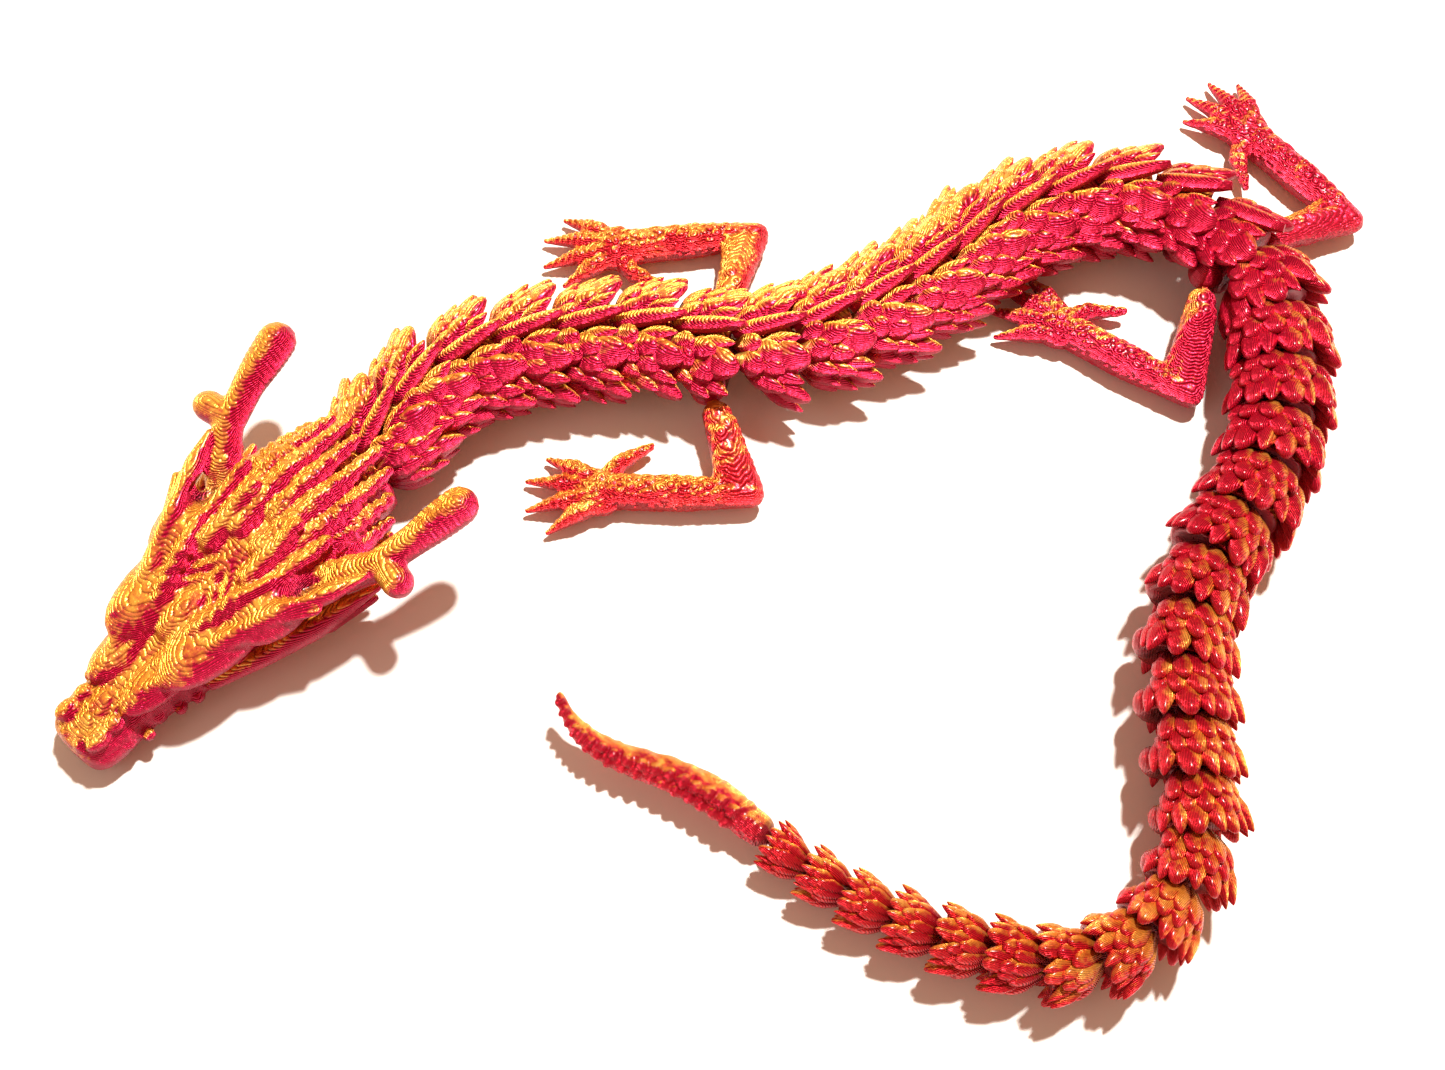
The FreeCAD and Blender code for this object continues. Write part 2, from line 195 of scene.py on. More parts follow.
def segmentName(k):
    if k == 0:
        return "head"
    chest, hip, last = (chainSettings[part] for part in ("chest", "hip", "last"))
    if k < chest:
        return "neck_segment_%02d" % k
    if k == chest:
        return "chest_segment"
    if k < hip:
        return "back_segment_%02d" % (k - chest)
    if k == hip:
        return "hip_segment"
    if k <= last:
        return "tail_segment_%02d" % (k - hip)
    return "tail_tip"


def jointBetween(a, b):
    for joint in frame["joints"]:
        if {joint["parent"], joint["child"]} == {a, b}:
            return Vector(joint["pos_m"])
    raise KeyError(a + " " + b)


ballCentres = [None] + [jointBetween(segmentName(k - 1), segmentName(k))
                        for k in range(1, chainSettings["last"] + 2)]


def lean(k):
    s = chainSettings
    share = (k - s["leanStarts"]) / (s["leanEnds"] - s["leanStarts"])
    return math.radians(s["fullLean"]) * max(0.0, min(1.0, share))


def sizeOf(k):
    s = chainSettings
    back = max(0, min(k, s["tailStarts"]) - s["taperStarts"])
    tail = max(0, min(k, s["last"]) - s["tailStarts"])
    return 1 - s["backTaper"] * back - s["tailTaper"] * tail


def segmentPlace(k):
    start, end = ballCentres[k], ballCentres[k + 1]
    run = end - start
    heading = math.atan2(run.y, run.x)
    tilt = math.asin(run.z / run.length)
    turn = (Matrix.Rotation(heading, 4, "Z") @ Matrix.Rotation(-tilt, 4, "Y")
            @ Matrix.Rotation(-lean(k), 4, "X"))
    return Matrix.Translation(start) @ turn, run.length / mm


# the two colours of the silk filament, chosen by which way a face looks on each piece

goldSides = [   # joint number, direction that shows gold
    (0, (-0.66, 0.62, 0.22)), (4, (-0.34, 0.93, 0.04)), (9, (-0.22, 0.96, 0.02)),
    (14, (-0.42, 0.88, 0.06)), (18, (0.40, 0.70, 0.15)), (22, (0.85, 0.40, 0.10)),
    (28, (0.75, 0.60, 0.20)), (31, (0.50, 0.75, 0.30)), (35, (0.25, 0.92, 0.25)),
    (39, (0.30, 0.90, 0.20)),
]
goldShare = [(0, 0.05), (4, 0.07), (12, 0.07), (15, -0.22), (17, -0.55), (22, -0.55), (27, -0.42),
             (31, -0.26), (35, -0.38), (39, -0.45)]
crimsonShare = [(0, 0.0), (12, 0.15), (17, 0.25), (22, 0.55), (30, 0.8), (39, 0.8)]


def along(table, k):
    for (a, va), (b, vb) in zip(table, table[1:]):
        if a <= k <= b:
            t = (k - a) / (b - a)
            if isinstance(va, tuple):
                return Vector(va).lerp(Vector(vb), t).normalized()
            return va + (vb - va) * t
    last = table[-1][1]
    return Vector(last).normalized() if isinstance(last, tuple) else last


def writeLook(obj, place, direction, share, warmth, heightOf, paintedShadeOf):
    # per-point facts for the material: gold side, crimson share, print height, and how far out a point lies, which
    # sets its painted shade
    mesh = obj.data
    count = len(mesh.vertices)
    inverse = place.to_3x3().inverted()
    local = inverse @ direction
    goldValues, layerValues, paintedShadeValues = [0.0] * count, [0.0] * count, [0.0] * count
    for i, v in enumerate(mesh.vertices):
        goldValues[i] = v.normal.dot(local) + share
        layerValues[i] = heightOf(v.co / mm)
        paintedShadeValues[i] = paintedShadeOf(v.co / mm)
    for name, values in (("goldSide", goldValues), ("printHeight", layerValues),
                         ("paintedShadeOpenness", paintedShadeValues), ("warmth", [warmth] * count)):
        attribute = mesh.attributes.new(name, "FLOAT", "POINT")
        attribute.data.foreach_set("value", values)


def settle(obj, node, place):
    # the piece goes to its place on the body and stands for the plain solid
    obj.data.transform(place)
    obj.data.update()
    obj.data.materials.clear()
    obj.data.materials.append(silk)
    deselectAll()
    obj.select_set(True)
    bpy.context.view_layer.objects.active = obj
    bpy.ops.object.shade_smooth()
    obj.name = node + "_print"
    obj.data.name = node + "_print"
    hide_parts(node)
    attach(obj, node)


# material: printed silk filament in two colours, with painted shade in recesses and layer grooves and painted
# highlights in patches

silkSettings = {
    # the dark amber and plum are painted shade for tucked-in points, and the pale gold, rose and ember are painted
    # highlights
    "gold": (0.95, 0.34, 0.02, 1), "paintedGoldHighlight": (1.0, 0.68, 0.16, 1), "goldInPaintedShade": (0.34, 0.035, 0.003, 1),
    "magenta": (0.47, 0.0, 0.040, 1), "paintedRoseHighlight": (0.86, 0.012, 0.10, 1), "magentaInPaintedShade": (0.11, 0.0, 0.012, 1),
    "crimson": (0.60, 0.002, 0.014, 1), "paintedEmberHighlight": (0.95, 0.07, 0.02, 1), "copper": (0.95, 0.21, 0.012, 1),
    "layer": 0.30, "roughness": 0.30, "metallic": 0.60, "coat": 0.18,
}


def newNode(tree, kind, x, y, **values):
    node = tree.nodes.new(kind)
    node.location = (x, y)
    for key, value in values.items():
        setattr(node, key, value)
    return node


def mathNode(tree, operation, x, y, a, b=None, c=None, clamp=False):
    node = newNode(tree, "ShaderNodeMath", x, y, operation=operation, use_clamp=clamp)
    for i, value in enumerate((a, b, c)):
        if value is None:
            continue
        if isinstance(value, (int, float)):
            node.inputs[i].default_value = value
        else:
            tree.links.new(value, node.inputs[i])
    return node.outputs[0]


def mixColour(tree, x, y, factor, a, b, blend="MIX"):
    node = newNode(tree, "ShaderNodeMix", x, y, data_type="RGBA", blend_type=blend)
    node.clamp_factor = True
    for socket, value in ((node.inputs[0], factor), (node.inputs[6], a), (node.inputs[7], b)):
        if isinstance(value, (int, float, tuple)):
            socket.default_value = value
        else:
            tree.links.new(value, socket)
    return node.outputs[2]


def makeLayersGroup():
    # printed layer lines: a bead profile and the groove between beads
    group = bpy.data.node_groups.new("printedLayers", "ShaderNodeTree")
    group.interface.new_socket("Height", in_out="INPUT", socket_type="NodeSocketFloat")
    group.interface.new_socket("Layer", in_out="INPUT", socket_type="NodeSocketFloat")
    group.interface.new_socket("Wobble", in_out="INPUT", socket_type="NodeSocketFloat")
    group.interface.new_socket("Bead", in_out="OUTPUT", socket_type="NodeSocketFloat")
    group.interface.new_socket("Groove", in_out="OUTPUT", socket_type="NodeSocketFloat")
    source = newNode(group, "NodeGroupInput", -800, 0)
    sink = newNode(group, "NodeGroupOutput", 400, 0)
    steps = mathNode(group, "DIVIDE", -600, 0, source.outputs[0], source.outputs[1])
    moved = mathNode(group, "ADD", -440, 0, steps, source.outputs[2])
    part = mathNode(group, "FRACT", -280, 0, moved)
    centred = mathNode(group, "MULTIPLY_ADD", -120, 0, part, 2.0, -1.0)
    square = mathNode(group, "MULTIPLY", 40, 0, centred, centred)
    bead = mathNode(group, "SUBTRACT", 200, 80, 1.0, square)
    groove = mathNode(group, "POWER", 200, -120, square, 3.0)
    group.links.new(bead, sink.inputs[0])
    group.links.new(groove, sink.inputs[1])
    return group


def makeSilk():
    s = silkSettings
    mat = bpy.data.materials.new("twoColourSilk")
    mat.use_nodes = True
    tree = mat.node_tree
    shader = tree.nodes["Principled BSDF"]
    coords = newNode(tree, "ShaderNodeTexCoord", -1800, -300)
    gold = newNode(tree, "ShaderNodeAttribute", -1800, 300, attribute_name="goldSide")
    height = newNode(tree, "ShaderNodeAttribute", -1800, 0, attribute_name="printHeight")
    paintedShadeOpenness = newNode(tree, "ShaderNodeAttribute", -1800, -600, attribute_name="paintedShadeOpenness")
    warm = newNode(tree, "ShaderNodeAttribute", -1800, 600, attribute_name="warmth")
    broad = newNode(tree, "ShaderNodeTexNoise", -1600, 300)
    broad.inputs["Scale"].default_value = 160
    broad.inputs["Detail"].default_value = 3
    fine = newNode(tree, "ShaderNodeTexNoise", -1600, -300)
    fine.inputs["Scale"].default_value = 900
    fine.inputs["Detail"].default_value = 2
    tree.links.new(coords.outputs["Object"], broad.inputs["Vector"])
    tree.links.new(coords.outputs["Object"], fine.inputs["Vector"])

    layers = newNode(tree, "ShaderNodeGroup", -1300, 0)
    layers.node_tree = makeLayersGroup()
    tree.links.new(height.outputs["Fac"], layers.inputs["Height"])
    layers.inputs["Layer"].default_value = s["layer"]
    wobble = mathNode(tree, "MULTIPLY", -1450, -120, broad.outputs["Fac"], 0.5)
    tree.links.new(wobble, layers.inputs["Wobble"])

    # which colour a face shows
    stray = mathNode(tree, "MULTIPLY_ADD", -1300, 320, broad.outputs["Fac"], 1.5, -0.75)
    speck = mathNode(tree, "MULTIPLY_ADD", -1300, 200, fine.outputs["Fac"], 0.9, -0.45)
    tone = mathNode(tree, "ADD", -1120, 300, gold.outputs["Fac"], stray)
    tone = mathNode(tree, "ADD", -960, 300, tone, speck)
    tone = mathNode(tree, "MULTIPLY_ADD", -800, 300, tone, 1.9, 0.27, clamp=True)

    # painted shade: tucked-in points turn toward a dark amber on gold faces and a dark plum on red faces
    lift = mathNode(tree, "MULTIPLY_ADD", -1300, -600, paintedShadeOpenness.outputs["Fac"], 1.3, 0.02, clamp=True)
    goldFace = mixColour(tree, -1000, 860, warm.outputs["Fac"], s["gold"], s["copper"])
    redFace = mixColour(tree, -1000, 60, warm.outputs["Fac"], s["magenta"], s["crimson"])
    # painted highlights: patches picked by noise turn pale gold on gold faces, and bright rose to ember red on red
    # faces, by warmth
    redGlint = mixColour(tree, -1000, -120, warm.outputs["Fac"], s["paintedRoseHighlight"], s["paintedEmberHighlight"])
    goldColour = mixColour(tree, -800, 620, lift, s["goldInPaintedShade"], goldFace)
    paintedHighlightMask = mathNode(tree, "POWER", -960, 700, broad.outputs["Fac"], 2.3)
    goldColour = mixColour(tree, -620, 620, paintedHighlightMask, goldColour, s["paintedGoldHighlight"])
    roseColour = mixColour(tree, -800, 60, lift, s["magentaInPaintedShade"], redFace)
    roseColour = mixColour(tree, -620, 60, paintedHighlightMask, roseColour, redGlint)
    colour = mixColour(tree, -420, 300, tone, roseColour, goldColour)
    # painted shade in the grooves between printed layers
    grooveShade = mathNode(tree, "MULTIPLY", -420, 0, layers.outputs["Groove"], 0.9)
    colour = mixColour(tree, -220, 260, grooveShade, colour, (0.42, 0.22, 0.24, 1), "MULTIPLY")
    tree.links.new(colour, shader.inputs["Base Color"])

    rough = mathNode(tree, "MULTIPLY_ADD", -220, 0, fine.outputs["Fac"], 0.22, s["roughness"] - 0.1)
    tree.links.new(rough, shader.inputs["Roughness"])
    shader.inputs["Metallic"].default_value = s["metallic"]
    shader.inputs["Coat Weight"].default_value = s["coat"]
    shader.inputs["Coat Roughness"].default_value = 0.16
    shader.inputs["Specular IOR Level"].default_value = 0.3
    shader.inputs["IOR"].default_value = 1.48

    lumpy = newNode(tree, "ShaderNodeBump", -420, -420)
    lumpy.inputs["Strength"].default_value = 0.5
    lumpy.inputs["Distance"].default_value = 0.0006
    tree.links.new(fine.outputs["Fac"], lumpy.inputs["Height"])
    lines = newNode(tree, "ShaderNodeBump", -200, -300)
    lines.inputs["Strength"].default_value = 0.85
    lines.inputs["Distance"].default_value = 0.0003
    tree.links.new(layers.outputs["Bead"], lines.inputs["Height"])
    tree.links.new(lumpy.outputs["Normal"], lines.inputs["Normal"])
    tree.links.new(lines.outputs["Normal"], shader.inputs["Normal"])
    return mat


silk = makeSilk()
print("material ready")


# one scale of each kind, about a hundred faces each, with its root at the origin and its tip at x = 1

def makeScale(name, widest, tipPower, crown, keel, rings=9, sides=10):
    deselectAll()
    bpy.ops.mesh.primitive_uv_sphere_add(segments=sides, ring_count=rings, radius=0.5,
                                         rotation=(0, math.radians(90), 0))
    obj = bpy.context.object
    obj.name = name
    applyPlace(obj)
    for v in obj.data.vertices:
        t = max(0.0, min(1.0, v.co.x + 0.5))
        round_ = math.sqrt(max(1e-6, 1 - (2 * t - 1) ** 2))
        leaf = (t / widest) ** 0.6 if t < widest else ((1 - t) / (1 - widest)) ** tipPower
        fit = leaf / round_ if round_ > 0.05 else 0.0
        y, z = v.co.y * fit, v.co.z * fit
        if z > 0:
            z = z * (crown + keel * (1 - min(1, abs(y) * 3)))
        v.co = Vector((t, y, z))
    obj.data.update()
    obj.hide_render = True
    return obj


shellScale = makeScale("shellScale", 0.58, 0.46, 1.1, 0.15)
pointScale = makeScale("pointScale", 0.50, 0.66, 1.15, 0.35)
knobScale = makeScale("knobScale", 0.62, 0.42, 1.15, 0.1)


def makeRidge():
    # a long narrow plate with a rounded edge, drawn from a cube
    deselectAll()
    bpy.ops.mesh.primitive_cube_add(size=1, location=(0.5, 0, 0))
    obj = bpy.context.object
    obj.name = "ridgePlate"
    applyPlace(obj)
    bpy.ops.object.mode_set(mode="EDIT")
    bpy.ops.mesh.select_all(action="SELECT")
    bpy.ops.mesh.subdivide(number_cuts=5)
    bpy.ops.object.mode_set(mode="OBJECT")
    for v in obj.data.vertices:
        t = v.co.x
        body = math.sin(math.pi * min(1.0, 0.08 + 0.9 * t) ** 0.8) ** 0.5
        y, z = v.co.y * 2, v.co.z * 2
        soft = math.sqrt(max(0.0, 1 - 0.5 * z * z))
        v.co.y = y * 0.5 * body * soft
        v.co.z = z * 0.5 * math.sqrt(max(0.0, 1 - 0.4 * y * y)) * (0.45 + 0.55 * body)
    obj.data.update()
    obj.hide_render = True
    return obj


ridgePlate = makeRidge()


def stamp(target, template, matrix):
    mesh = template.data.copy()
    mesh.transform(matrix)
    target.from_mesh(mesh)
    bpy.data.meshes.remove(mesh)


def leafPlace(angle, rootStation, rootReach, tipStation, tipReach, width, thick, twist=0.0, yaw=0.0):
    # stands one scale at an angle round the body, from its root to its tip, in millimetres
    out = Vector((0, math.sin(angle), math.cos(angle)))
    root = out * rootReach + Vector((rootStation, 0, 0))
    tip = out * tipReach + Vector((tipStation, 0, 0))
    ahead = tip - root
    length = ahead.length
    ahead.normalize()
    side = Vector((1, 0, 0)).cross(out).normalized()
    ahead = (Matrix.Rotation(yaw, 3, out) @ ahead).normalized()
    up = ahead.cross(side).normalized()
    if up.dot(out) < 0:
        up = -up
    side = up.cross(ahead)
    turn = Matrix((ahead, side, up)).transposed()
    turn = turn @ Matrix.Rotation(twist, 3, "X")
    scale = Matrix.Diagonal(Vector((length, width, thick)))
    return Matrix.Translation(root * mm) @ (turn @ scale).to_4x4() @ Matrix.Scale(mm, 4)


segmentSettings = {
    "angleAtLegs": 78, "angleBeforeLegs": 88, "bellyDepth": 10.6,
    # each row: kind, angle round the body, root's share of the pitch, root's reach,
    # tip past the next ball, tip's reach, width, thickness
    "frontRows": [
        ("point", 20, 0.46, 7.2, 2.6, 12.9, 4.4, 3.2),
        ("shell", 43, 0.40, 6.8, 4.2, 13.3, 8.8, 4.4),
        ("point", 64, 0.42, 6.8, 2.6, 14.0, 5.8, 3.6),
        ("shell", 83, 0.46, 6.8, 3.8, 15.2, 6.8, 3.8),
        ("point", 103, 0.44, 6.6, 2.6, 14.6, 5.4, 3.2),
        ("point", 120, 0.50, 6.8, 2.6, 12.4, 4.6, 2.8),
        ("knob", 31, 0.24, 6.4, -1.2, 12.4, 6.2, 3.8),
        ("knob", 54, 0.24, 6.2, -1.2, 12.8, 6.4, 3.8),
        ("point", 74, 0.24, 6.2, -1.4, 14.4, 6.0, 3.6),
        ("point", 94, 0.24, 6.0, -1.6, 14.6, 5.8, 3.4),
        ("point", 112, 0.26, 5.8, -1.8, 12.0, 5.2, 3.0),
        ("knob", 20, 0.06, 5.4, -6.0, 11.6, 5.6, 3.2),
        ("knob", 43, 0.06, 5.4, -5.8, 12.2, 6.4, 3.6),
        ("point", 64, 0.06, 5.4, -5.4, 13.2, 6.0, 3.4),
        ("point", 84, 0.06, 5.2, -5.4, 13.8, 5.8, 3.2),
        ("point", 103, 0.06, 5.2, -5.6, 13.0, 5.4, 3.0),
    ],
    "tailRows": [
        ("point", 16, 0.44, 7.0, 4.0, 13.4, 4.6, 3.6),
        ("knob", 38, 0.42, 6.8, 4.3, 13.3, 6.2, 4.2),
        ("point", 60, 0.42, 6.8, 4.3, 13.5, 6.2, 4.0),
        ("knob", 83, 0.42, 6.8, 4.3, 13.3, 6.2, 4.0),
        ("point", 106, 0.44, 6.8, 4.0, 13.0, 5.8, 3.8),
        ("point", 130, 0.50, 6.8, 2.6, 12.0, 5.4, 3.4),
        ("knob", 27, 0.22, 6.2, -1.0, 12.9, 6.0, 4.0),
        ("knob", 49, 0.22, 6.0, -1.0, 13.1, 6.4, 4.2),
        ("knob", 71, 0.22, 6.0, -1.0, 13.2, 6.4, 4.0),
        ("knob", 94, 0.22, 5.8, -1.4, 12.4, 6.0, 3.8),
        ("knob", 118, 0.24, 5.6, -1.8, 11.2, 5.6, 3.4),
        ("knob", 16, 0.04, 5.4, -5.0, 12.6, 5.4, 3.6),
        ("knob", 38, 0.04, 5.4, -4.8, 13.0, 6.2, 3.8),
        ("knob", 60, 0.04, 5.4, -4.8, 13.2, 6.2, 3.8),
        ("knob", 83, 0.04, 5.2, -4.8, 13.0, 6.0, 3.6),
        ("knob", 106, 0.04, 5.2, -5.0, 12.2, 5.6, 3.4),
    ],
}
templates = {"shell": shellScale, "point": pointScale, "knob": knobScale}


def segmentCore(k, pitch, size):
    # ball, neck and flared cup, drawn out ring by ring
    rings = [
        (-3.9, 0.8, 0.8), (-3.2, 2.4, 2.4), (-1.8, 3.6, 3.6), (0, 4.0, 4.0), (1.8, 3.6, 3.6),
        (3.2, 2.4, 2.4), (4.3, 1.9, 1.9), (4.6, 5.0, 5.0), (7.4, 6.4, 6.6), (10.2, 7.9, 8.0),
    ]
    stations = [(x * size, w * size, h * size, 0) for x, w, h in rings]
    stations += [(pitch + 0.2 * size, 8.8 * size, 8.8 * size, 0),
                 (pitch + 1.0 * size, 9.0 * size, 9.0 * size, 0),
                 (pitch + 0.8 * size, 8.0 * size, 8.0 * size, 0),
                 (pitch + 0.4 * size, 4.5 * size, 4.5 * size, 0),
                 (pitch - 2.6 * size, 3.4 * size, 3.4 * size, 0),
                 (pitch - 4.2 * size, 1.2 * size, 1.2 * size, 0)]
    return loftAlong(stations, 20)


def buildSegment(k):
    place, pitch = segmentPlace(k)
    size = sizeOf(k)
    s = segmentSettings
    onTail = k > chainSettings["hip"]
    core = segmentCore(k, pitch, size)
    target = bmesh.new()
    target.from_mesh(core.data)
    carriers = (chainSettings["chest"], chainSettings["hip"])
    legs, beforeLegs, afterLegs = k in carriers, k + 1 in carriers, k - 1 in carriers
    steepest = s["angleAtLegs"] if legs else s["angleBeforeLegs"] if beforeLegs else 180
    rows = s["tailRows"] if onTail else s["frontRows"]
    for kind, angle, rootShare, rootReach, past, tipReach, width, thick in rows:
        if angle > steepest:
            continue
        if afterLegs and rootShare < 0.3 and angle > (62 if rootShare < 0.1 else 80):
            continue   # room for the shoulders to swing
        for side in (1, -1):
            jitter = random.uniform
            a = math.radians(side * (angle + jitter(-3, 3)))
            grow = 1 + jitter(-0.09, 0.09)
            matrix = leafPlace(
                a, pitch * rootShare, rootReach * size, pitch + past * size,
                tipReach * size * (1 + jitter(-0.015, 0.015)), width * size * grow,
                thick * size, twist=math.radians(jitter(-8, 8)), yaw=math.radians(jitter(-6, 6)))
            stamp(target, templates[kind], matrix)
    # the plate along the back, longer on the front half
    if onTail:
        plate = leafPlace(0, pitch * 0.34, 7.0 * size, pitch + 3.2 * size, 14.6 * size,
                          4.0 * size, 5.0 * size)
        stamp(target, pointScale, plate)
    else:
        plate = leafPlace(0, pitch * 0.12, 8.2 * size, pitch + 4.2 * size, 14.0 * size,
                          3.6 * size, 4.2 * size)
        stamp(target, ridgePlate, plate)
    if legs:
        for side in (1, -1):
            seat = legSeat(k, side)
            boss = ballAt(seat, (4.1, 4.1, 4.1), sides=16)
            target.from_mesh(boss.data)
            bpy.data.objects.remove(boss)
    # flat belly pad under a segment that stands upright
    pad = ballAt((pitch * 0.85, 0, -7.4 * size), (3.6 * size, 5.8 * size, 3.1 * size), sides=16)
    target.from_mesh(pad.data)
    bpy.data.objects.remove(pad)
    target.to_mesh(core.data)
    target.free()
    core.data.update()
    for v in core.data.vertices:   # nothing reaches below the flat belly
        v.co.z = max(v.co.z, -s["bellyDepth"] * size * mm)
    core.data.update()
    # painted shade: points that lie nearer the core, down between the scales, get a darker colour
    writeLook(core, place, along(goldSides, k), along(goldShare, k), along(crimsonShare, k),
              lambda p: p.z, lambda p: (math.hypot(p.y, p.z) / size - 6.0) / 7.0)
    settle(core, segmentName(k), place)
    return core


legSettings = {
    "lugStation": 0.78, "lugReach": 8.2, "lugDrop": 2.0, "fold": 107.0, "shin": 26.0, "toe": 21.5, "sole": 4.4,
    "legs": {   # segment, side, arm, turn, drop, share of gold, share of crimson
        "left_front_leg": (7, 1, 27.0, -4, 3.9, -0.30, 0.8),
        "right_front_leg": (7, -1, 27.0, 27, 3.9, -0.34, 0.8),
        "left_hind_leg": (17, 1, 28.0, -22, 2.2, -0.66, 0.4),
        "right_hind_leg": (17, -1, 28.0, 33, 7.9, -0.60, 0.3),
    },
    "toeSpread": (-30, -10.5, 9, 28),
}


def legSeat(k, side):
    s = legSettings
    _, pitch = segmentPlace(k)
    return Vector((pitch * s["lugStation"], side * s["lugReach"], -s["lugDrop"]))


for number in range(1, chainSettings["last"] + 1):
    buildSegment(number)
print("body segments ready")


# legs

def buildLeg(node):
    s = legSettings
    k, side, arm, turn, drop, gold, crimson = s["legs"][node]
    fold = math.radians(s["fold"])
    ahead = Vector((-math.sin(fold), math.cos(fold), 0))
    armEnd = arm - 3

    def flat(x, out, z):
        return Vector((x, side * out, z))

    shoulder = flat(0, 6.8, -0.2 * drop)
    elbow = flat(0, armEnd, -drop)
    wristX, wristY = ahead.x * s["shin"], armEnd + ahead.y * s["shin"]
    wrist = flat(wristX, wristY, -drop - 1.0)
    mid = (elbow + wrist) / 2
    parts = horny([Vector((0, 0, 0)), shoulder], [1.3, 1.4])
    parts.append(ballAt((0, 0, 0), (2.6,) * 3, sides=20))
    # the upper arm is a flat-faced blade, deeper than it is thick
    parts += horny([shoulder, (shoulder + elbow) / 2, elbow], [3.2, 4.0, 3.4])
    parts += horny([shoulder + flat(1.0, 3, 0.6), elbow + flat(2.2, 0.6, 0.4)], [2.6, 2.7])
    parts += horny([shoulder + flat(-0.6, 5, 0.8), elbow + flat(-2.6, -1.6, 0.4)], [2.4, 2.8])
    parts += horny([elbow + flat(1.8, 1.6, 0.2), mid + flat(0, 0.6, 0.2), wrist], [3.0, 4.1, 4.0])
    parts += horny([elbow + flat(-1, 0.6, 1.5), mid + flat(0, 1.8, 1.7), wrist + flat(-1, 1.2, 1.4)],
                   [2.0, 2.2, 2.2])
    palm = wrist + flat(ahead.x * 4, ahead.y * 4, 0)
    parts.append(ballAt(palm, (6.0, 5.6, 3.4), sides=20))
    heading = math.degrees(math.atan2(ahead.y, ahead.x))
    for spread in s["toeSpread"]:
        angle = math.radians(heading + spread)
        reach = s["toe"] * (1 - 0.006 * abs(spread))
        root = wrist + flat(math.cos(angle) * 3, math.sin(angle) * 3, 0.2)
        knuckle = wrist + flat(math.cos(angle) * reach * 0.62, math.sin(angle) * reach * 0.62, 0.5)
        tip = wrist + flat(math.cos(angle) * reach, math.sin(angle) * reach, -1.6)
        parts += horny([root, knuckle, tip], [2.4, 2.15, 0.75])
    # the thumb points back toward the elbow
    spur = flat(wristX + 9.5, wristY - 8.4, -drop - 1)
    parts += horny([wrist + flat(-3, -3, 0), wrist + flat(2, -6.6, 0), spur], [2.4, 2.1, 1.0])
    obj = melt(node, parts, 0.36, 2)

    def relief(p, n):
        q = Vector((p.x, p.y * side, p.z))
        onShin = 1.0 if q.x < -4 else max(0.0, -q.x / 4)
        up = max(0.0, n.z)
        pebble = lumps(q, 2.3, 3.0) * 0.62 * (0.35 + 0.65 * up) * onShin
        toes = max(0.0, min(1.0, (-q.x - s["shin"] - 7) / 4))
        pebble *= 1 - 0.8 * toes
        rib = 0.2 * math.sin(q.x * 4.4) * toes * up
        edge = lumps(q, 1.8, 7.0) * 0.35 * (1 - onShin) * max(0.0, n.x)
        return pebble + rib + edge - 0.18 * onShin

    carve(obj, relief)
    for v in obj.data.vertices:   # soles lie flat
        v.co.z = max(v.co.z, (-drop - s["sole"]) * mm)
    obj.data.update()
    segment, _ = segmentPlace(k)
    run = segment.to_3x3() @ Vector((1, 0, 0))
    angle = math.atan2(run.y, run.x) + math.radians(turn)
    centre = jointBetween(segmentName(k), node)
    place = Matrix.Translation(centre) @ Matrix.Rotation(angle, 4, "Z")
    direction = Vector((-0.35, 0.75, 0.40)).normalized()
    # painted shade: the seams between the leg's pebble cells get a darker colour
    writeLook(obj, place, direction, gold, crimson,
              lambda p: p.z, lambda p: 0.55 + 0.4 * lumps(Vector((p.x, p.y * side, p.z)), 2.3, 3.0))
    settle(obj, node, place)
    return obj


for legName in legSettings["legs"]:
    buildLeg(legName)
print("legs ready")


# head

